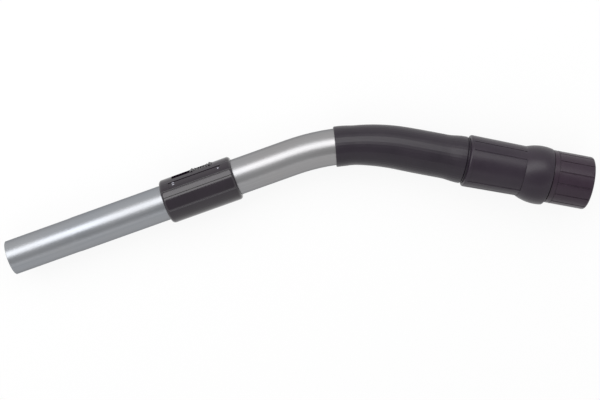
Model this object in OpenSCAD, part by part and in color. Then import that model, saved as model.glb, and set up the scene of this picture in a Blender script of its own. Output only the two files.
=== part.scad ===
// Curved vacuum wand handle, lying on its side on a flat surface.
// The origin is the centre of the tube's open mouth. The straight tube runs along +X, the tube
// bends towards -Y, and the handle is rolled a little about X so that the regulator collar and
// the swivel collar both touch the surface.

/* [Tube] */
// Outer diameter of the tube
tube_d = 32; // [30:0.5:35]
// Wall thickness of the tube
tube_wall = 1; // [0.8:0.1:1.4]
// How far the wand end is drawn down, on the radius
wand_end_step = 0.6; // [0.3:0.1:0.9]
// Length of the end that goes into the wand
wand_fit_len = 60; // [50:1:80]
// How much wider the tube is behind that end, on the radius
wand_fit_step = 0.2; // [0.2:0.05:0.3]
// Length of the conical steps of the tube
wand_step_len = 3; // [2:0.5:5]
// Length from the mouth to the start of the bend
straight_len = 264; // [255:1:285]
// Radius of the bend on the centre line
bend_r = 182; // [140:1:200]
// Angle of the bend
bend_angle = 31; // [24:1:40]

/* [Regulator collar] */
// Distance from the mouth to the collar's front edge
collar_at = 146.5; // [120:0.5:170]
// Length of the collar
collar_len = 66; // [62:1:76]
// Thickness of the collar's skin
collar_skin = 1.8; // [1.6:0.1:2.6]
// Room between the tube and the skin for the slider's carrier
collar_room = 1.9; // [1.9:0.1:2.6]
// Rounding of the collar's outer end edges
collar_round = 3; // [1:0.5:3.5]
// Thickness of the collar's end walls
collar_end_wall = 5; // [3:0.5:6]
// Half of the angle that the top shell covers
top_shell_half = 51; // [48:1:60]
// Depth of the mark strips beside the window
strip_depth = 0.5; // [0.2:0.1:0.8]
// Angle from the top to the upper edge of each mark strip
strip_from = 28; // [26:1:32]
// Angle that each mark strip covers
strip_sweep = 20; // [12:1:20]
// Distance from each collar end to the end of the mark strips
strip_inset = 9; // [7:0.5:12]

/* [Thumb slider] */
// Length of the slider's thumb rest
slider_len = 21; // [18:0.5:24]
// Width of the slider's thumb rest
slider_w = 9.4; // [7:0.2:11]
// Travel of the slider towards the wand end
slider_travel = 16; // [10:0.5:16]
// Gap between the thumb rest and the window, all round
slider_gap = 0.4; // [0.3:0.05:0.6]
// Distance from the window's back end to the collar's back edge
window_back = 15.5; // [14:0.5:18]
// Number of cross ribs on the thumb rest
rib_count = 8; // [5:1:9]
// Height of the cross ribs above the dished floor
rib_h = 0.9; // [0.5:0.1:1.2]
// How far the tips of the end ribs stand out of the collar
rib_proud = 0.8; // [0.4:0.1:1.2]
// How much deeper the middle rib tips lie than the end ones
dish_depth = 1.5; // [0.5:0.1:1.8]
// Thickness of the carrier plate under the skin
carrier_t = 0.8; // [0.6:0.1:1]
// How far the carrier plate reaches past each end of the thumb rest
carrier_reach = 3; // [1.5:0.5:4]
// Half of the angle that the carrier plate covers
carrier_half = 30; // [24:1:36]
// Length of the bleed slot in the tube
bleed_len = 14; // [8:0.5:16]
// Width of the bleed slot in the tube
bleed_w = 8; // [5:0.5:9]

/* [Grip sleeve] */
// Distance along the tube from the mouth to the grip's front edge
grip_at = 303; // [295:1:315]
// Thickness of the grip at its front lip
grip_lip_t = 1.7; // [1.5:0.1:3]
// How far the front edge leans forward on the inside of the bend
grip_lip_lean = 0.8; // [0:0.1:1.5]
// Length of the front lip
grip_lip_len = 5; // [3:0.5:7]
// Thickness of the grip at its waist
grip_waist_t = 1.3; // [1.2:0.1:2.4]
// Distance from the front edge to the waist
grip_waist_at = 17; // [12:1:24]
// Thickness of the grip where the hand rests
grip_body_t = 3.35; // [2.8:0.05:4]
// Distance from the front edge to full thickness
grip_body_at = 80; // [60:1:84]
// Thickness of the grip at its back bead
grip_bead_t = 4.7; // [4.1:0.1:5]

/* [Socket] */
// Distance from the end of the bend to the socket's front edge
socket_at = 56.5; // [50:0.5:70]
// Length of the fluted part of the socket
socket_len = 50; // [44:0.5:60]
// Outer radius of the socket at its front edge
socket_r = 22.9; // [22.6:0.1:25]
// Draft of the socket, on the radius over its length
socket_draft = 0.65; // [0.2:0.05:0.8]
// Depth that the tube's end reaches into the socket
tube_in_socket = 32; // [24:0.5:34]
// Depth that the grip's end reaches into the socket
grip_tuck = 6; // [4:0.5:8]
// Width of the long flutes
flute_w = 1.1; // [0.8:0.1:1.6]
// Depth of the long flutes
flute_depth = 0.6; // [0.3:0.1:0.9]
// Depth of the wide side panels
panel_depth = 0.5; // [0.2:0.1:0.8]
// Angle from the top to the upper flutes
flute_upper = 27; // [20:1:34]
// Angle from the top to the lower flutes, at the panels' edges
flute_lower = 51; // [44:1:60]
// Thickness of the socket's inner sleeve round the tube
sleeve_t = 2.1; // [1.6:0.1:2.4]
// Number of webs between the inner sleeve and the skin
web_count = 8; // [4:1:12]

/* [Swivel] */
// Length of the swivel collar
ring_len = 24.3; // [22:0.1:28]
// Outer radius of the swivel collar at its crest
ring_r = 25.8; // [25.6:0.1:28]
// Distance from the swivel collar's front edge to its crest
ring_crest_at = 16.5; // [14:0.5:18]
// Outer radius of the swivel collar before its rounded back edge
ring_back_r = 25.1; // [24.8:0.1:25.5]
// Lean of the swivel collar towards the inside of the bend
ring_lean = 2.8; // [0:0.1:3]
// Outer radius of the cuff
cuff_r = 23.4; // [23.2:0.1:24.4]
// Length of the cuff outside the swivel collar
cuff_len = 36.7; // [32:0.1:44]
// Seam between the swivel collar and the cuff
swivel_seam = 0.5; // [0.4:0.1:0.8]
// Length of the cuff's plain band before its flutes
cuff_band = 4.5; // [3:0.5:6]
// Number of flutes round the cuff
cuff_flutes = 14; // [8:1:18]
// Radius of the opening that the hose goes into
hose_r = 20.6; // [20:0.1:20.8]
// Length of the plain skirt of the cuff in front of the ferrule
skirt_len = 9; // [6:0.5:12]
// Radius of the skirt's opening
skirt_r = 21.5; // [21.2:0.1:21.7]
// Running clearance of the swivel, on the radius
swivel_fit = 0.2; // [0.1:0.05:0.3]
// Pitch of the hose thread
thread_pitch = 6.5; // [5:0.5:8]
// Height of the hose thread
thread_h = 1.1; // [0.6:0.1:1.3]

/* [Hidden] */
$fn = 96;

// Overlap that makes cuts and joins run clean
eps = 0.1;
// Overlap of the bend and the tail behind it, and how much thinner the tail is on each side
joint = 0.5;
tail_step = 0.1;
// Slip clearance between the tube and what is pushed onto it
slip = 0.05;

// Tube radii and stations along its centre line
tube_r = tube_d / 2;
wand_r = tube_r - wand_end_step;
wand_body_r = wand_r + wand_fit_step;
wand_step_at = collar_at + collar_end_wall + 0.5;
bend_len = bend_r * bend_angle * PI / 180;
bend_end = straight_len + bend_len;
bend_end_x = straight_len + bend_r * sin(bend_angle);
bend_end_y = -bend_r * (1 - cos(bend_angle));
tube_tail = socket_at + tube_in_socket;
tail_r = tube_r - tail_step;

// Collar radii
collar_r = tube_r + collar_room + collar_skin;
skin_in = tube_r + collar_room;

// Slider stations, measured from the collar's front edge, and its radial stack
window_w = slider_w + 2 * slider_gap;
window_len = slider_len + slider_travel + 2 * slider_gap;
window_end = collar_len - window_back;
slider_at = window_end - slider_gap - slider_len;
seal_gap = 0.15;
carrier_gap = 0.25;
carrier_out = skin_in - carrier_gap;
carrier_in = carrier_out - carrier_t;
seal_in = tube_r + seal_gap;
seal_inset = 1;
rib_margin = 1.4;
rib_pitch = (slider_len - 2 * rib_margin) / rib_count;

// Snap tongues and locating peg of the collar
tongue_w = 8;
tongue_sweep = 12;
tongue_root = 5;
tongue_out = skin_in - 0.2;
tongue_in = tube_r + 0.6;
catch_h = 0.6;
catch_sweep = 3;
peg_r = 2.4;
peg_clear = 0.1;

// Grip: distances from its front edge, along the centre line
grip_bore = tube_r + slip;
socket_front = bend_end + socket_at;
grip_len = socket_front - grip_at + grip_tuck - 0.3;
grip_bead_at = socket_front - grip_at - 4.5;
grip_neck_at = socket_front - grip_at - 1.5;
grip_flare = 15;
grip_neck_r = tube_r + 3.8;

// Socket radii and stations, measured from the end of the bend
socket_bore = tail_r + slip;
socket_end = socket_at + socket_len;
spigot_len = 12.5;
spigot_r = 20.7;
duct_r = tube_r - tube_wall;
skin_t = 2.4;
pocket_r = grip_neck_r + 0.3;
seal_ring_at = socket_at + tube_in_socket - 7;
seal_ring_r = 0.9;
flute_r = (flute_w * flute_w / 4 + flute_depth * flute_depth) / (2 * flute_depth);

// Swivel stations, measured from the end of the bend
ring_end = socket_end + ring_len;
flange_at = socket_end + spigot_len + 1;
flange_t = 3;
flange_r = 23;
neck_r = 20.1;
neck_bore = 16;
snap_at = socket_end + 5.5;
snap_w = 2;
snap_h = 0.6;
cuff_at = ring_end + swivel_seam;
cuff_end = cuff_at + cuff_len;
hose_stop = cuff_at + 4;
ferrule_from = hose_stop + 0.2;
ferrule_to = cuff_end - skirt_len;
ferrule_out = hose_r - slip;
ferrule_wall = 1;
bead_w = 2.4;
bead_h = 0.5;
bead_at = ferrule_from + 8;

// Roll that lets both collars touch the surface that the handle lies on
crest_t = socket_end + ring_crest_at;
crest_y = bend_end_y - crest_t * sin(bend_angle);
lie_roll = asin((ring_r - collar_r) / -crest_y);

plastic_gloss = [0.16, 0.15, 0.17];
plastic_satin = [0.22, 0.2, 0.22];
rubber_grey = [0.12, 0.12, 0.13];
aluminium = [0.72, 0.73, 0.75];

// Point of the centre line at a distance from the mouth
function path_point(s) =
    s <= straight_len ? [s, 0, 0]
    : s <= bend_end ? [straight_len + bend_r * sin(path_angle(s)),
                       -bend_r * (1 - cos(path_angle(s))), 0]
    : [bend_end_x + (s - bend_end) * cos(bend_angle),
       bend_end_y - (s - bend_end) * sin(bend_angle), 0];

// Angle that the centre line has turned through at a distance from the mouth
function path_angle(s) =
    min(max((s - straight_len) / bend_r * 180 / PI, 0), bend_angle);

// Points of a circle across the centre line, with a lean along it
function ring_points(s, r, sides, lean = 0) =
    [for (i = [0:sides - 1])
        let (p = i * 360 / sides, at = s + lean * cos(p), a = path_angle(at))
        path_point(at) + r * (cos(p) * [sin(a), cos(a), 0] + sin(p) * [0, 0, 1])];

// Smooth step from 0 to 1
function ease(u) = (1 - cos(180 * min(max(u, 0), 1))) / 2;

// Side faces between rings of points, and the two end caps
function band_faces(rings, sides) =
    [for (i = [0:rings - 2]) for (j = [0:sides - 1])
        let (k = (j + 1) % sides)
        [i * sides + j, i * sides + k, (i + 1) * sides + k, (i + 1) * sides + j]];
function start_cap(sides) = [[for (j = [sides - 1:-1:0]) j]];
function end_cap(rings, sides) = [[for (j = [0:sides - 1]) (rings - 1) * sides + j]];

// Everything is modelled with the bend in the XY plane and then rolled to rest
module lie() {
    rotate([-lie_roll, 0, 0]) children();
}

// Local z along the straight tube from a station, local x towards the outside of the bend
module on_straight(at) {
    translate([at, 0, 0]) rotate([90, 0, 90]) children();
}

// Local z along the straight end after the bend, local x towards the outside of the bend
module on_end() {
    translate([bend_end_x, bend_end_y, 0])
        rotate([0, 0, -bend_angle])
            rotate([90, 0, 90]) children();
}

// Solid round bar between two heights
module bar(r, from, to) {
    translate([0, 0, from]) cylinder(r = r, h = to - from);
}

// Round hole or groove between two heights, cut from a solid
module tube_between(r_out, r_in, from, to) {
    difference() {
        bar(r_out, from, to);
        bar(r_in, from - eps, to + eps);
    }
}

// Part of a ring: radii, heights, the angle where it starts and the angle it covers
module ring_part(r_in, r_out, from, to, start, sweep) {
    rotate([0, 0, start])
        rotate_extrude(angle = sweep)
            translate([r_in, from]) square([r_out - r_in, to - from]);
}

// Rectangle with round corners, centred
module round_rect(l, w, r) {
    square([l - 2 * r, w], center = true);
    square([l, w - 2 * r], center = true);
    for (sx = [-1, 1], sy = [-1, 1]) {
        translate([sx * (l / 2 - r), sy * (w / 2 - r)]) circle(r);
    }
}

// Half section of the straight tube's wall, with the drawn-down wand end
module wand_section() {
    inner = tube_r - tube_wall;
    wand_in = wand_r - tube_wall;
    body_in = wand_body_r - tube_wall;
    body_from = wand_fit_len + wand_step_len;
    step_to = wand_step_at + wand_step_len;
    polygon([[wand_in + 0.4, 0], [wand_r - 0.3, 0], [wand_r, 0.3], [wand_r, wand_fit_len],
             [wand_body_r, body_from], [wand_body_r, wand_step_at],
             [tube_r, step_to], [tube_r, straight_len], [inner, straight_len],
             [inner, step_to], [body_in, wand_step_at], [body_in, body_from],
             [wand_in, wand_fit_len], [wand_in, 0.4]]);
}

// Bend about the centre line's radius, solid or with a bore
module bend_part(r_out, r_in = 0) {
    translate([straight_len, -bend_r, 0])
        rotate([0, 0, 90])
            rotate_extrude(angle = -bend_angle)
                translate([bend_r, 0]) difference() {
                    circle(r_out);
                    if (r_in > 0) circle(r_in);
                }
}

// Bleed slot through the tube's wall, under the slider at rest
module bleed_slot() {
    mid = slider_at + slider_len / 2;
    translate([tube_r - 2 * tube_wall, 0, mid])
        rotate([0, 90, 0])
            linear_extrude(3 * tube_wall)
                round_rect(bleed_len, bleed_w, bleed_w / 2 - 0.01);
}

module bent_tube() {
    color(aluminium) lie() {
        difference() {
            on_straight(0) rotate_extrude() wand_section();
            on_straight(collar_at) {
                bleed_slot();
                translate([-tube_r - tube_wall, 0, collar_len / 2])
                    rotate([0, 90, 0]) cylinder(r = peg_r + peg_clear, h = 3 * tube_wall);
            }
        }
        bend_part(tube_r, duct_r);
        on_end() tube_between(tail_r, duct_r + tail_step, -joint, tube_tail);
    }
}

// Half section of the collar: skin, end walls and rounded outer edges
module collar_section() {
    difference() {
        union() {
            translate([wand_r, 0]) square([collar_r - collar_round - wand_r, collar_len]);
            translate([skin_in - eps, collar_round])
                square([collar_skin + eps, collar_len - 2 * collar_round]);
            for (z = [collar_round, collar_len - collar_round]) {
                translate([collar_r - collar_round, z]) circle(collar_round);
            }
        }
        translate([0, -eps]) square([wand_body_r + slip, collar_len]);
        translate([0, collar_end_wall]) square([skin_in, collar_len - 2 * collar_end_wall]);
        translate([0, collar_end_wall]) square([tube_r + slip, collar_len]);
    }
}

// Mark strip beside the window, cut into the skin
module mark_strip(start) {
    ring_part(collar_r - strip_depth, collar_r + 1, strip_inset, collar_len - strip_inset,
              start, strip_sweep);
}

// Tongue that snaps under the bottom shell's edge, on the side given by its sign
module snap_tongue(side, at) {
    edge = top_shell_half;
    start = side > 0 ? edge - tongue_root : -edge - tongue_sweep;
    root = side > 0 ? edge - tongue_root + 0.5 : -edge + 0.5;
    catch = side > 0 ? edge + tongue_sweep - catch_sweep - 1 : -edge - tongue_sweep + 1;
    translate([0, 0, at - tongue_w / 2]) {
        ring_part(tongue_in, tongue_out, 0, tongue_w, start, tongue_sweep + tongue_root);
        ring_part(tongue_in + eps, skin_in + eps, eps, tongue_w - eps, root, tongue_root - 1);
        ring_part(tongue_in + eps, tongue_out + catch_h, eps, tongue_w - eps, catch, catch_sweep);
    }
}

tongue_places = [collar_len * 0.25, collar_len * 0.75];

module regulator_top_shell() {
    color(plastic_gloss) lie() on_straight(collar_at) {
        difference() {
            rotate([0, 0, -top_shell_half])
                rotate_extrude(angle = 2 * top_shell_half) collar_section();
            translate([tube_r, 0, window_end - window_len / 2])
                rotate([0, 90, 0])
                    linear_extrude(collar_r) round_rect(window_len, window_w, 1.2);
            mark_strip(strip_from);
            mark_strip(-strip_from - strip_sweep);
        }
        for (side = [-1, 1], at = tongue_places) {
            snap_tongue(side, at);
        }
    }
}

module regulator_bottom_shell() {
    sweep = 360 - 2 * top_shell_half;
    catch_gap = 0.15;
    color(plastic_gloss) lie() on_straight(collar_at) {
        difference() {
            rotate([0, 0, top_shell_half]) rotate_extrude(angle = sweep) collar_section();
            for (side = [-1, 1], at = tongue_places) {
                start = side > 0 ? top_shell_half + tongue_sweep - catch_sweep - 1.5
                                 : -top_shell_half - tongue_sweep + 0.5;
                ring_part(skin_in - 0.5, tongue_out + catch_h + catch_gap,
                          at - tongue_w / 2 - 0.3, at + tongue_w / 2 + 0.3,
                          start, catch_sweep + 1);
            }
        }
        for (at = tongue_places) {
            ring_part(tube_r + slip, skin_in + eps, at - 1, at + 1,
                      top_shell_half + tongue_sweep + 8,
                      sweep - 2 * tongue_sweep - 16);
        }
        translate([-skin_in - eps, 0, collar_len / 2])
            rotate([0, 90, 0]) cylinder(r = peg_r, h = skin_in - tube_r + tube_wall - 0.2);
    }
}

// Height above the tube's axis of the thumb rest's rib tips at a place along it
function tip_height(z) =
    collar_r + rib_proud - dish_depth * (1 - pow(2 * z / (slider_len - 2 * rib_margin) - 1, 2));

// Side view of the thumb rest: dished top with round-topped cross ribs
function rib_outline(i, steps) =
    let (start = i * rib_pitch)
    [for (k = [0:steps])
        let (u = k / steps, z = start + u * rib_pitch)
        [rib_margin + z, tip_height(z) - rib_h * (1 - pow(sin(180 * u), 1.5))]];

module thumb_rest_profile() {
    top = [for (i = [0:rib_count - 1]) each rib_outline(i, 8)];
    end_top = collar_r - 0.4;
    polygon(concat([[0, carrier_in + 0.1], [0, end_top - 0.6], [0.6, end_top]], top,
                   [[slider_len - 0.6, end_top], [slider_len, end_top - 0.6],
                    [slider_len, carrier_in + 0.1]]));
}

module thumb_slider() {
    color(plastic_satin) lie() on_straight(collar_at) translate([0, 0, slider_at]) {
        translate([0, slider_w / 2, 0])
            rotate([90, 0, 0])
                linear_extrude(slider_w)
                    mirror([1, 0]) rotate(90) thumb_rest_profile();
        ring_part(carrier_in, carrier_out, -carrier_reach, slider_len + carrier_reach,
                  -carrier_half, 2 * carrier_half);
    }
}

module slider_seal() {
    half = carrier_half - 2;
    color(rubber_grey) lie() on_straight(collar_at) translate([0, 0, slider_at])
        ring_part(seal_in, carrier_in, seal_inset - carrier_reach,
                  slider_len + carrier_reach - seal_inset, -half, 2 * half);
}

// Thickness of the grip over its bore at a distance from its front edge
function grip_t(x) =
    x < 1 ? grip_lip_t - 0.4 * (1 - x) * (1 - x)
    : x < grip_lip_len ? grip_lip_t
    : x < grip_waist_at ? grip_lip_t
        + (grip_waist_t - grip_lip_t) * ease((x - grip_lip_len) / (grip_waist_at - grip_lip_len))
    : x < grip_body_at ? grip_waist_t
        + (grip_body_t - grip_waist_t) * sin(90 * (x - grip_waist_at) / (grip_body_at - grip_waist_at))
    : x < grip_neck_at ? grip_body_t
        + (grip_bead_t - grip_body_t) * ease((x - grip_bead_at + grip_flare) / grip_flare)
    : grip_neck_r - grip_bore;

module grip_sleeve() {
    sides = 48;
    lip = [0, 0.5, 1, 3, grip_lip_len];
    waist = [for (i = [1:4]) grip_lip_len + i * (grip_waist_at - grip_lip_len) / 4];
    body = [for (i = [1:12]) grip_waist_at + i * (grip_body_at - grip_waist_at) / 12];
    flare_at = grip_bead_at - grip_flare;
    flare = [for (i = [0:6]) flare_at + i * grip_flare / 6];
    back = [grip_neck_at - 0.8, grip_neck_at + 0.4, grip_len];
    xs = concat(lip, waist, body, flare, back);
    rings = len(xs);
    points = [for (x = xs)
        each ring_points(grip_at + x, grip_bore + grip_t(x), sides,
                         grip_lip_lean * max(1 - x / grip_waist_at, 0))];
    color(plastic_satin) lie() difference() {
        polyhedron(points, concat(band_faces(rings, sides), start_cap(sides),
                                  end_cap(rings, sides)), convexity = 4);
        bend_part(grip_bore);
        on_end() bar(tail_r + slip, -joint, socket_at + grip_tuck + 5);
    }
}

// One long flute at an angle from the top, on a surface that drafts inwards
module long_flute(angle) {
    deep = flute_r - flute_depth;
    draft_angle = atan(socket_draft / socket_len);
    rotate([0, 0, angle])
        translate([socket_r + deep, 0, socket_at])
            rotate([0, -draft_angle, 0])
                translate([0, 0, 3]) cylinder(r = flute_r, h = socket_len - 2);
}

module socket_body() {
    front_chamfer = 1.2;
    edge_round = 0.5;
    rotate_extrude() polygon([
        [0, socket_at],
        [pocket_r + 0.9, socket_at],
        [socket_r - edge_round, socket_at + front_chamfer - edge_round],
        [socket_r - edge_round * 0.3, socket_at + front_chamfer],
        [socket_r, socket_at + front_chamfer + edge_round],
        [socket_r - socket_draft, socket_end],
        [0, socket_end]]);
    bar(spigot_r, socket_end - eps, socket_end + spigot_len);
}

// Wide recessed panel on one side of the socket
module side_panel(start) {
    sweep = 2 * (90 - flute_lower);
    rotate([0, 0, start])
        rotate_extrude(angle = sweep)
            polygon([
                [socket_r - panel_depth, socket_at + 4],
                [socket_r - panel_depth - socket_draft, socket_end + 1],
                [socket_r + 1, socket_end + 1],
                [socket_r + 1, socket_at + 4]]);
}

module socket_shell() {
    core_from = socket_at + grip_tuck;
    core_to = socket_end - 6;
    core_in = socket_bore + sleeve_t;
    core_out = socket_r - socket_draft - panel_depth - flute_depth - 1.2;
    stop = socket_at + tube_in_socket + 0.3;
    color(plastic_satin) lie() on_end() difference() {
        socket_body();
        bar(pocket_r, socket_at - eps, core_from);
        bar(socket_bore, core_from - eps, stop);
        bar(duct_r, stop - eps, socket_end + 2);
        translate([0, 0, socket_end + 2 - eps])
            cylinder(r1 = duct_r, r2 = neck_bore, h = 4 + eps);
        bar(neck_bore, socket_end + 6 - eps, socket_end + spigot_len + eps);
        tube_between(socket_bore + 2 * seal_ring_r, 0.5, seal_ring_at - seal_ring_r - 0.1,
                     seal_ring_at + seal_ring_r + 0.1);
        difference() {
            tube_between(core_out, core_in, core_from - eps, core_to);
            for (i = [0:web_count - 1]) {
                rotate([0, 0, i * 360 / web_count])
                    translate([core_in - 1, -0.8, core_from - 2 * eps])
                        cube([core_out - core_in + 2, 1.6, core_to - core_from + 1]);
            }
        }
        tube_between(spigot_r + 1, spigot_r - snap_h, snap_at, snap_at + snap_w);
        side_panel(flute_lower);
        side_panel(flute_lower + 180);
        for (side = [-1, 1]) {
            long_flute(side * flute_upper);
            long_flute(side * flute_lower);
            long_flute(180 + side * flute_upper);
            long_flute(180 + side * flute_lower);
        }
    }
}

module socket_seal() {
    color(rubber_grey) lie() on_end()
        translate([0, 0, seal_ring_at])
            rotate_extrude()
                translate([socket_bore + seal_ring_r, 0]) circle(seal_ring_r - 0.03);
}

// Outline of the swivel collar: rising arc to the crest, falling arc and rounded back edge
module ring_outline() {
    front_r = socket_r - socket_draft;
    rise = ring_r - front_r;
    fall = ring_r - ring_back_r;
    back_len = ring_len - ring_crest_at;
    edge_r = 0.9;
    fall_len = back_len - edge_r;
    arc_a = (ring_crest_at * ring_crest_at + rise * rise) / (2 * rise);
    arc_b = (fall_len * fall_len + fall * fall) / (2 * fall);
    steps_a = 14;
    steps_b = 6;
    front = [for (i = [0:steps_a])
        let (z = i * ring_crest_at / steps_a, d = ring_crest_at - z)
        [ring_r - arc_a + sqrt(arc_a * arc_a - d * d), z]];
    back = [for (i = [1:steps_b])
        let (d = i * fall_len / steps_b)
        [ring_r - arc_b + sqrt(arc_b * arc_b - d * d), ring_crest_at + d]];
    edge = [for (i = [1:4])
        [ring_back_r - edge_r + edge_r * cos(22.5 * i),
         ring_crest_at + fall_len + edge_r * sin(22.5 * i)]];
    polygon(concat([[0, -1.5], [front_r, -1.5]], front, back, edge, [[0, ring_len]]));
}

module swivel_collar() {
    chamber_r = flange_r + swivel_fit;
    lip_at = flange_at + flange_t + swivel_fit;
    color(plastic_satin) lie() on_end() {
        difference() {
            translate([0, 0, socket_end])
                rotate([0, -ring_lean, 0]) rotate_extrude() ring_outline();
            bar(spigot_r + slip, socket_end - 3, socket_end + spigot_len - 2);
            bar(chamber_r, socket_end + spigot_len - 2 - eps, lip_at);
            bar(neck_r + swivel_fit, lip_at - eps, ring_end + 3);
            bar(socket_r + 3, ring_end, ring_end + 5);
            bar(socket_r + 3, socket_end - 5, socket_end);
        }
        tube_between(spigot_r + 1, spigot_r - snap_h + slip, snap_at + 0.1,
                     snap_at + snap_w - 0.1);
    }
}

module swivel_seal() {
    from = socket_end + spigot_len;
    color(rubber_grey) lie() on_end()
        tube_between(spigot_r - 0.4, neck_bore + 0.6, from, flange_at - 0.15);
}

// One flute of the cuff, open at the hose end
module cuff_flute(angle) {
    start = cuff_at + cuff_band;
    rotate([0, 0, angle])
        translate([cuff_r + flute_r - flute_depth, 0, start + flute_r])
            cylinder(r = flute_r, h = cuff_len);
}

module swivel_cuff() {
    edge = 2;
    turn = 360 / cuff_flutes;
    color(plastic_satin) lie() on_end() difference() {
        union() {
            bar(flange_r, flange_at, flange_at + flange_t);
            bar(neck_r, flange_at, cuff_at + eps);
            rotate_extrude() {
                translate([0, cuff_at]) square([cuff_r - 0.5, cuff_len - edge]);
                translate([0, cuff_at + 0.5]) square([cuff_r, cuff_len - edge - 0.5]);
                translate([cuff_r - 0.5, cuff_at + 0.5]) circle(0.5);
                translate([cuff_r - edge, cuff_end - edge]) circle(edge);
                translate([0, cuff_end - edge - eps]) square([cuff_r - edge, edge + eps]);
            }
        }
        bar(neck_bore, flange_at - eps, hose_stop + eps);
        bar(hose_r, hose_stop, ferrule_to + eps);
        bar(skirt_r, ferrule_to, cuff_end + eps);
        bar(hose_r + bead_h + 0.1, bead_at - 0.1, bead_at + bead_w + 0.1);
        tube_between(cuff_r + 1, cuff_r - 0.35, cuff_at + cuff_band - 0.4,
                     cuff_at + cuff_band + 0.4);
        for (i = [0:cuff_flutes - 1]) {
            cuff_flute((i + 0.5) * turn);
        }
    }
}

// Height of the thread over the ferrule's bore at an angle and a height in the ferrule
function thread_ridge(turn, z, len) =
    let (phase = z / thread_pitch - turn, u = phase - floor(phase),
         lead = min(z, len - z) / 1.5)
    thread_h * min(max(lead, 0), 1) * pow(max(sin(360 * u), 0), 0.7);

module hose_ferrule() {
    sides = 48;
    len = ferrule_to - ferrule_from;
    rows = 32;
    bore = ferrule_out - ferrule_wall;
    bead = bead_at - ferrule_from;
    outside = [[ferrule_out - 0.5, 0], [ferrule_out, 0.5], [ferrule_out, bead],
               [ferrule_out + bead_h, bead + 0.7], [ferrule_out + bead_h, bead + bead_w - 0.7],
               [ferrule_out, bead + bead_w], [ferrule_out, len - 0.5], [ferrule_out - 0.5, len]];
    loop = len(outside) + rows + 1;
    points = [for (i = [0:sides - 1])
        let (a = i * 360 / sides)
        each concat(
            [for (p = outside) [p[0] * cos(a), p[0] * sin(a), p[1]]],
            [for (k = [rows:-1:0])
                let (z = k * len / rows, r = bore - thread_ridge(i / sides, z, len))
                [r * cos(a), r * sin(a), z]])];
    faces = [for (i = [0:sides - 1]) for (j = [0:loop - 1])
        let (i2 = (i + 1) % sides, j2 = (j + 1) % loop)
        [i * loop + j, i * loop + j2, i2 * loop + j2, i2 * loop + j]];
    color(plastic_gloss) lie() on_end() translate([0, 0, ferrule_from])
        polyhedron(points, faces, convexity = 6);
}

bent_tube();
regulator_top_shell();
regulator_bottom_shell();
thumb_slider();
slider_seal();
grip_sleeve();
socket_shell();
socket_seal();
swivel_collar();
swivel_seal();
swivel_cuff();
hose_ferrule();
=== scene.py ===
import math

import bpy
from mathutils import Matrix, Vector

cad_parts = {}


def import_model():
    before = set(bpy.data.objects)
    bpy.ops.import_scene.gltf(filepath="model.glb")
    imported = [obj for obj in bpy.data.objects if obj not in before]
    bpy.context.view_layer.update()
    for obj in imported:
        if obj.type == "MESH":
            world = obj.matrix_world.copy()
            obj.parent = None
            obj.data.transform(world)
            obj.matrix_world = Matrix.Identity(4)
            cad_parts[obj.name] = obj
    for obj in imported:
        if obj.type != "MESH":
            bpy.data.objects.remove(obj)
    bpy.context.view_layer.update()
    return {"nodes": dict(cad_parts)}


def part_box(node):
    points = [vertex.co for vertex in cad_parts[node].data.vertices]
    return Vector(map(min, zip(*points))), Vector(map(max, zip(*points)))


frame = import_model()
nodes = frame["nodes"]

# Route of the tube's centre line, repeated from part.scad, in metres and radians
STRAIGHT = 0.264
BEND_R = 0.182
BEND = math.radians(31)
ROLL = math.radians(3.9149)
COLLAR_AT = 0.1465
COLLAR_R = 0.0197
FLOOR_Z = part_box("regulator_bottom_shell")[0][2]

# Printed marks on the collar: distances from its front edge in metres, angles in degrees
# from the outside of the bend
BARS_AT = 0.0132
BAR_LEN = 0.002
BAR_HALF = 1.5
BAR_ANGLES = (31, 37)
DOT_AT = 0.0548
DOT_ANGLE = 35
DOT_R = 0.0008
INK = (0.26, 0.26, 0.3)

# Lines of painted light along the collar on each side: the pale ones are painted highlights on
# rounded edges, the dark ones painted shade in steps and grooves; angle, half width in degrees,
# colour
PAINTED_SHADE = (0.003, 0.002, 0.003)
PAINTED_HIGHLIGHT = (0.045, 0.043, 0.048)
COLLAR_LIGHT_AND_SHADE_LINES = (
    (24, 0.6, PAINTED_HIGHLIGHT),
    (49.4, 0.6, PAINTED_HIGHLIGHT),
    (51, 0.7, PAINTED_SHADE),
    (66.7, 1.1, PAINTED_SHADE),
    (104.5, 0.7, PAINTED_HIGHLIGHT))
LINE_ROUGHNESS = 0.7

# Colours of the drawn tube, dark and light lines: cooler at the wand end than behind the collar,
# where the cool tint is a painted cast of light
PAINTED_COOL_LIGHT_METAL = ((0.282, 0.296, 0.32), (0.322, 0.336, 0.36))
PLAIN_METAL = ((0.3, 0.294, 0.298), (0.34, 0.334, 0.338))
CLOUDY_METAL = (0.33, 0.333, 0.342)
METAL_EDGE = (0.5, 0.51, 0.52, 1)
PAINTED_COOL_LIGHT_TO = 0.14
PLAIN_FROM = 0.24

# Studio: shares of white, then places and sizes in metres and powers in watts
HANDLE = (0.26, -0.03, 0)
FLOOR_SIZE = 8.0
FLOOR_DROP = 0.0002
PAPER = (0.8, 0.8, 0.8, 1)
FLOOR_GLOW = 0.88
SKY_ROUND = (0.9, 0.9, 0.9)
SKY_OVERHEAD = (0.52, 0.52, 0.52)
KEY_LIGHT = {"place": (0.2, 0.74, 0.72), "size": (2.2, 0.68), "power": 12.4}
EDGE_LIGHT = {"place": (0.26, -0.55, 0.87), "size": (2.4, 0.07), "power": 0.5}

# Camera as fitted to the photograph: aim on the floor, distance, leans off the vertical,
# roll and field of view in degrees
CAMERA = {"target": (0.25767, -0.03955), "distance": 1.3509, "lean_x": 3.7006,
          "lean_y": 18.0592, "roll": -20.7476, "fov": 22.1908}


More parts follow.
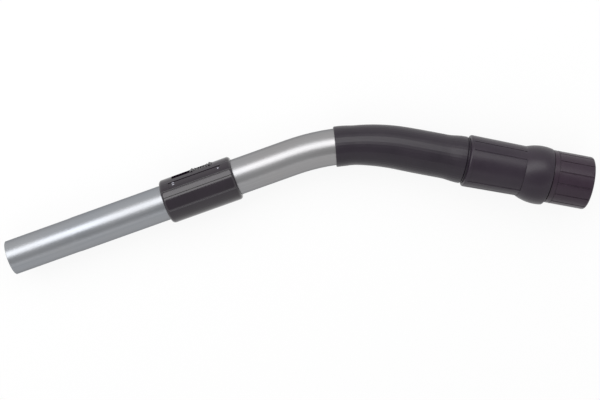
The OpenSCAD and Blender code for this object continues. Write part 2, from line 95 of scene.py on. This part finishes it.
class Tree:
    """Short calls for building one node tree."""

    def __init__(self, tree):
        self.t = tree
        self.n = tree.nodes
        self.l = tree.links

    def add(self, kind, **props):
        node = self.n.new(kind)
        for k, v in props.items():
            setattr(node, k, v)
        return node

    def link(self, a, b):
        self.l.new(a, b)

    def put(self, socket, value):
        if isinstance(value, bpy.types.NodeSocket):
            self.link(value, socket)
        else:
            socket.default_value = value

    def math(self, op, a, b=0.0, c=0.0, clamp=False):
        m = self.add("ShaderNodeMath", operation=op, use_clamp=clamp)
        for i, v in enumerate((a, b, c)):
            if i < len(m.inputs):
                self.put(m.inputs[i], v)
        return m.outputs[0]

    def combine(self, x, y, z):
        c = self.add("ShaderNodeCombineXYZ")
        for s, v in zip(c.inputs, (x, y, z)):
            self.put(s, v)
        return c.outputs[0]

    def noise(self, vector, scale, detail=3.0, rough=0.55):
        n = self.add("ShaderNodeTexNoise")
        self.put(n.inputs["Vector"], vector)
        n.inputs["Scale"].default_value = scale
        n.inputs["Detail"].default_value = detail
        n.inputs["Roughness"].default_value = rough
        return n.outputs["Fac"]

    def remap(self, value, lo, hi, to_lo, to_hi):
        m = self.add("ShaderNodeMapRange", clamp=True)
        for s, v in zip(m.inputs, (value, lo, hi, to_lo, to_hi)):
            self.put(s, v)
        return m.outputs[0]

    def mix(self, fac, a, b):
        m = self.add("ShaderNodeMix", data_type="RGBA")
        self.put(m.inputs[0], fac)
        for s, v in ((m.inputs[6], a), (m.inputs[7], b)):
            if isinstance(v, bpy.types.NodeSocket):
                self.link(v, s)
            else:
                s.default_value = (*v, 1.0)
        return m.outputs[2]

    def bump(self, height, strength, distance, normal=None):
        b = self.add("ShaderNodeBump")
        b.inputs["Strength"].default_value = strength
        b.inputs["Distance"].default_value = distance
        self.link(height, b.inputs["Height"])
        if normal is not None:
            self.link(normal, b.inputs["Normal"])
        return b.outputs["Normal"]


def wand_coords():
    """Group: distance along the centre line, and the two offsets across it, in metres."""
    g = bpy.data.node_groups.new("wand_coords", "ShaderNodeTree")
    for name in ("Along", "Outwards", "Sideways"):
        g.interface.new_socket(name, in_out="OUTPUT", socket_type="NodeSocketFloat")
    t = Tree(g)
    geo = t.add("ShaderNodeNewGeometry")
    sep = t.add("ShaderNodeSeparateXYZ")
    t.link(geo.outputs["Position"], sep.inputs[0])
    x, y, z = sep.outputs
    cr, sr = math.cos(ROLL), math.sin(ROLL)
    flat_y = t.math("SUBTRACT", t.math("MULTIPLY", y, cr), t.math("MULTIPLY", z, sr))
    flat_z = t.math("ADD", t.math("MULTIPLY", y, sr), t.math("MULTIPLY", z, cr))
    dx = t.math("SUBTRACT", x, STRAIGHT)
    dy = t.math("ADD", flat_y, BEND_R)
    turn = t.math("ARCTAN2", dx, dy)
    turn = t.math("MINIMUM", t.math("MAXIMUM", turn, 0.0), BEND)
    s, c = t.math("SINE", turn), t.math("COSINE", turn)
    rx = t.math("SUBTRACT", dx, t.math("MULTIPLY", s, BEND_R))
    ry = t.math("SUBTRACT", dy, t.math("MULTIPLY", c, BEND_R))
    ahead = t.math("SUBTRACT", t.math("MULTIPLY", rx, c), t.math("MULTIPLY", ry, s))
    out = t.math("ADD", t.math("MULTIPLY", rx, s), t.math("MULTIPLY", ry, c))
    along = t.math("ADD", t.math("ADD", ahead, t.math("MULTIPLY", turn, BEND_R)), STRAIGHT)
    end = t.add("NodeGroupOutput")
    for socket, value in zip(end.inputs, (along, out, flat_z)):
        t.link(value, socket)
    return g


COORDS = wand_coords()


def material(name):
    """New material: itself, its tree, its shader and the wand coordinates."""
    m = bpy.data.materials.new(name)
    m.use_nodes = True
    m.node_tree.nodes.clear()
    t = Tree(m.node_tree)
    out = t.add("ShaderNodeOutputMaterial")
    bsdf = t.add("ShaderNodeBsdfPrincipled")
    t.link(bsdf.outputs[0], out.inputs["Surface"])
    coords = t.add("ShaderNodeGroup", node_tree=COORDS)
    return m, t, bsdf, coords.outputs


def satin_aluminium():
    """Drawn and anodised tube: fine lines along it, a soft cloudy variation, and a painted cool
    cast of light towards the wand end.
    """
    m, t, bsdf, (s, out, side) = material("satin_aluminium")
    lines_at = t.combine(t.math("MULTIPLY", s, 6.0), t.math("MULTIPLY", out, 900.0),
                         t.math("MULTIPLY", side, 900.0))
    lines = t.noise(lines_at, 1.0, 4.0, 0.6)
    cloud_at = t.combine(t.math("MULTIPLY", s, 18.0), t.math("MULTIPLY", out, 60.0),
                         t.math("MULTIPLY", side, 60.0))
    cloud = t.noise(cloud_at, 1.0, 2.0, 0.5)
    # Towards the wand end the colour takes a painted cool cast of light, fading to the plain metal
    # behind the collar.
    cool_lit_metal = t.mix(t.remap(lines, 0.3, 0.7, 0.0, 1.0), *PAINTED_COOL_LIGHT_METAL)
    plain = t.mix(t.remap(lines, 0.3, 0.7, 0.0, 1.0), *PLAIN_METAL)
    shade = t.mix(t.remap(s, PAINTED_COOL_LIGHT_TO, PLAIN_FROM, 0.0, 1.0), cool_lit_metal, plain)
    t.link(t.mix(t.remap(cloud, 0.35, 0.65, 0.0, 0.5), shade, CLOUDY_METAL),
           bsdf.inputs["Base Color"])
    bsdf.inputs["Metallic"].default_value = 1.0
    bsdf.inputs["Specular Tint"].default_value = METAL_EDGE
    t.link(t.remap(cloud, 0.3, 0.7, 0.31, 0.38), bsdf.inputs["Roughness"])
    t.link(t.bump(lines, 0.12, 0.0001), bsdf.inputs["Normal"])
    return m


def moulded(name, low, high, rough_low, rough_high, grain, grain_depth, shine=0.35):
    """Moulded plastic: fine surface grain, slight colour drift, faint wipe marks in its gloss."""
    m, t, bsdf, (s, out, side) = material(name)
    at = t.combine(s, out, side)
    fine = t.noise(at, grain, 2.0, 0.5)
    drift = t.noise(at, 45.0, 3.0, 0.55)
    wipe_at = t.combine(t.math("MULTIPLY", s, 0.25), out, side)
    wipe = t.noise(wipe_at, 260.0, 3.0, 0.6)
    t.link(t.mix(t.remap(drift, 0.3, 0.7, 0.0, 1.0), low, high), bsdf.inputs["Base Color"])
    rough = t.remap(t.math("ADD", t.math("MULTIPLY", drift, 0.6), t.math("MULTIPLY", wipe, 0.4)),
                    0.35, 0.65, rough_low, rough_high)
    t.link(rough, bsdf.inputs["Roughness"])
    t.link(t.bump(fine, 0.5, grain_depth), bsdf.inputs["Normal"])
    bsdf.inputs["Specular IOR Level"].default_value = shine
    return m


def near(t, value, centre, half):
    """1 where a value lies within a half width of a centre, else 0."""
    return t.math("LESS_THAN", t.math("ABSOLUTE", t.math("SUBTRACT", value, centre)), half)


def add_marks(mat):
    """Plain printed marks beside the window: two bars at its front, a dot at its back."""
    t = Tree(mat.node_tree)
    bsdf = next(n for n in t.n if n.type == "BSDF_PRINCIPLED")
    s, out, side = next(n for n in t.n if n.type == "GROUP").outputs
    angle = t.math("ARCTAN2", side, out)
    masks = [t.math("MULTIPLY", near(t, s, COLLAR_AT + BARS_AT, BAR_LEN / 2),
                    near(t, angle, math.radians(a), math.radians(BAR_HALF)))
             for a in BAR_ANGLES]
    along = t.math("SUBTRACT", s, COLLAR_AT + DOT_AT)
    across = t.math("MULTIPLY", t.math("SUBTRACT", angle, math.radians(DOT_ANGLE)), COLLAR_R)
    apart = t.math("SQRT", t.math("ADD", t.math("MULTIPLY", along, along),
                                  t.math("MULTIPLY", across, across)))
    masks.append(t.math("LESS_THAN", apart, DOT_R))
    ink = masks[0]
    for m in masks[1:]:
        ink = t.math("MAXIMUM", ink, m)
    plain = bsdf.inputs["Base Color"].links[0].from_socket
    t.link(t.mix(ink, plain, INK), bsdf.inputs["Base Color"])
    return mat


def add_painted_light_lines(mat):
    """Painted lines along the collar, rougher than the gloss round them: pale ones are painted edge
    highlights, dark ones painted shade in the steps, grooves and seam.
    """
    t = Tree(mat.node_tree)
    bsdf = next(n for n in t.n if n.type == "BSDF_PRINCIPLED")
    out, side = next(n for n in t.n if n.type == "GROUP").outputs[1:]
    angle = t.math("ABSOLUTE", t.math("ARCTAN2", side, out))
    colour = bsdf.inputs["Base Color"].links[0].from_socket
    rough = bsdf.inputs["Roughness"].links[0].from_socket
    # Each pale line paints a highlight and each dark line paints shade into the base colour.
    for at, half, painted_tone in COLLAR_LIGHT_AND_SHADE_LINES:
        mask = near(t, angle, math.radians(at), math.radians(half))
        colour = t.mix(mask, colour, painted_tone)
        rough = t.math("MAXIMUM", rough, t.math("MULTIPLY", mask, LINE_ROUGHNESS))
    t.link(colour, bsdf.inputs["Base Color"])
    t.link(rough, bsdf.inputs["Roughness"])
    return mat


def soft_rubber():
    """Dull black rubber or foam with fine pores."""
    m, t, bsdf, (s, out, side) = material("soft_rubber")
    at = t.combine(s, out, side)
    pores = t.noise(at, 1800.0, 2.0, 0.6)
    t.link(t.mix(t.remap(pores, 0.3, 0.7, 0.0, 1.0), (0.012, 0.012, 0.013), (0.03, 0.03, 0.031)),
           bsdf.inputs["Base Color"])
    bsdf.inputs["Roughness"].default_value = 0.75
    t.link(t.bump(pores, 0.6, 0.0001), bsdf.inputs["Normal"])
    return m


def dress(node, mat):
    """Give a CAD node its material."""
    mesh = nodes[node].data
    mesh.materials.clear()
    mesh.materials.append(mat)


GLOSS = ((0.0085, 0.0045, 0.0095), (0.011, 0.0065, 0.012), 0.11, 0.16, 1500.0, 0.000005, 0.6)
gloss = moulded("gloss_black_plastic", *GLOSS)
satin_slider = moulded("satin_black_plastic", (0.007, 0.005, 0.008), (0.0095, 0.007, 0.0105),
                       0.34, 0.42, 2200.0, 0.00002, 0.25)
grip_mat = moulded("grip_black_plastic", (0.0125, 0.0085, 0.0145), (0.0165, 0.0115, 0.0185),
                   0.3, 0.4, 2600.0, 0.00003)
socket_mat = moulded("socket_black_plastic", (0.0155, 0.0095, 0.0175), (0.020, 0.013, 0.022),
                     0.3, 0.38, 2400.0, 0.000025)
cuff_mat = moulded("cuff_black_plastic", (0.018, 0.008, 0.0175), (0.0235, 0.0118, 0.023),
                   0.3, 0.38, 2400.0, 0.000025)
rubber = soft_rubber()

dress("bent_tube", satin_aluminium())
# Both collar shells carry the painted highlight and painted shade lines.
dress("regulator_top_shell", add_marks(add_painted_light_lines(moulded("marked_painted_light_gloss_plastic", *GLOSS))))
dress("regulator_bottom_shell", add_painted_light_lines(moulded("painted_light_gloss_plastic", *GLOSS)))
dress("thumb_slider", satin_slider)
dress("grip_sleeve", grip_mat)
dress("socket_shell", socket_mat)
dress("swivel_collar", socket_mat)
dress("swivel_cuff", cuff_mat)
dress("hose_ferrule", gloss)
for seal in ("slider_seal", "socket_seal", "swivel_seal"):
    dress(seal, rubber)


def floor():
    """White floor that shows as plain white and keeps a faint shadow."""
    bpy.ops.mesh.primitive_plane_add(size=FLOOR_SIZE, location=(0.26, -0.04, FLOOR_Z - FLOOR_DROP))
    plane = bpy.context.object
    plane.name = "studio_floor"
    m = bpy.data.materials.new("white_floor")
    m.use_nodes = True
    m.node_tree.nodes.clear()
    t = Tree(m.node_tree)
    out = t.add("ShaderNodeOutputMaterial")
    paper = t.add("ShaderNodeBsdfDiffuse")
    paper.inputs["Color"].default_value = PAPER
    glow = t.add("ShaderNodeEmission")
    glow.inputs["Color"].default_value = (1, 1, 1, 1)
    glow.inputs["Strength"].default_value = 1.0
    path = t.add("ShaderNodeLightPath")
    mirrored = t.math("MAXIMUM", path.outputs["Is Glossy Ray"], path.outputs["Is Transmission Ray"])
    seen = t.math("MAXIMUM", path.outputs["Is Camera Ray"], mirrored)
    both = t.add("ShaderNodeMixShader")
    t.link(t.math("MULTIPLY", seen, FLOOR_GLOW), both.inputs[0])
    t.link(paper.outputs[0], both.inputs[1])
    t.link(glow.outputs[0], both.inputs[2])
    t.link(both.outputs[0], out.inputs["Surface"])
    plane.data.materials.append(m)


def world():
    """Even pale studio, darker overhead."""
    w = bpy.data.worlds.new("studio")
    bpy.context.scene.world = w
    w.use_nodes = True
    t = Tree(w.node_tree)
    coord = t.add("ShaderNodeTexCoord")
    split = t.add("ShaderNodeSeparateXYZ")
    t.link(coord.outputs["Generated"], split.inputs[0])
    overhead = t.remap(split.outputs[2], 0.82, 0.9, 0.0, 1.0)
    sky = t.mix(overhead, SKY_ROUND, SKY_OVERHEAD)
    t.link(sky, w.node_tree.nodes["Background"].inputs["Color"])
    w.node_tree.nodes["Background"].inputs["Strength"].default_value = 1.0


def camera(target, distance, lean_x, lean_y, roll, fov):
    """Camera above the floor, leaning off the vertical towards +X and +Y."""
    d = Vector((math.tan(math.radians(lean_x)), math.tan(math.radians(lean_y)), 1.0)).normalized()
    right = Vector((0, 1, 0)).cross(d).normalized()
    up = d.cross(right)
    c, s = math.cos(math.radians(roll)), math.sin(math.radians(roll))
    x, y = right * c + up * s, up * c - right * s
    cam = bpy.data.cameras.new("camera")
    cam.sensor_fit = "HORIZONTAL"
    cam.angle = math.radians(fov)
    cam.clip_end = 20
    obj = bpy.data.objects.new("camera", cam)
    bpy.context.collection.objects.link(obj)
    place = Vector((target[0], target[1], 0)) + d * distance
    obj.matrix_world = Matrix(((x.x, y.x, d.x, place.x), (x.y, y.y, d.y, place.y),
                               (x.z, y.z, d.z, place.z), (0, 0, 0, 1)))
    bpy.context.scene.camera = obj


def softbox(name, place, size, power):
    """Rectangular light that faces the handle."""
    light = bpy.data.lights.new(name, "AREA")
    light.shape = "RECTANGLE"
    light.size, light.size_y = size
    light.energy = power
    obj = bpy.data.objects.new(name, light)
    bpy.context.collection.objects.link(obj)
    obj.location = place
    obj.rotation_euler = (Vector(HANDLE) - Vector(place)).to_track_quat("-Z", "Y").to_euler()


floor()
world()
camera(**CAMERA)
softbox("key", **KEY_LIGHT)
softbox("edge", **EDGE_LIGHT)

bpy.context.scene.view_settings.view_transform = "Standard"
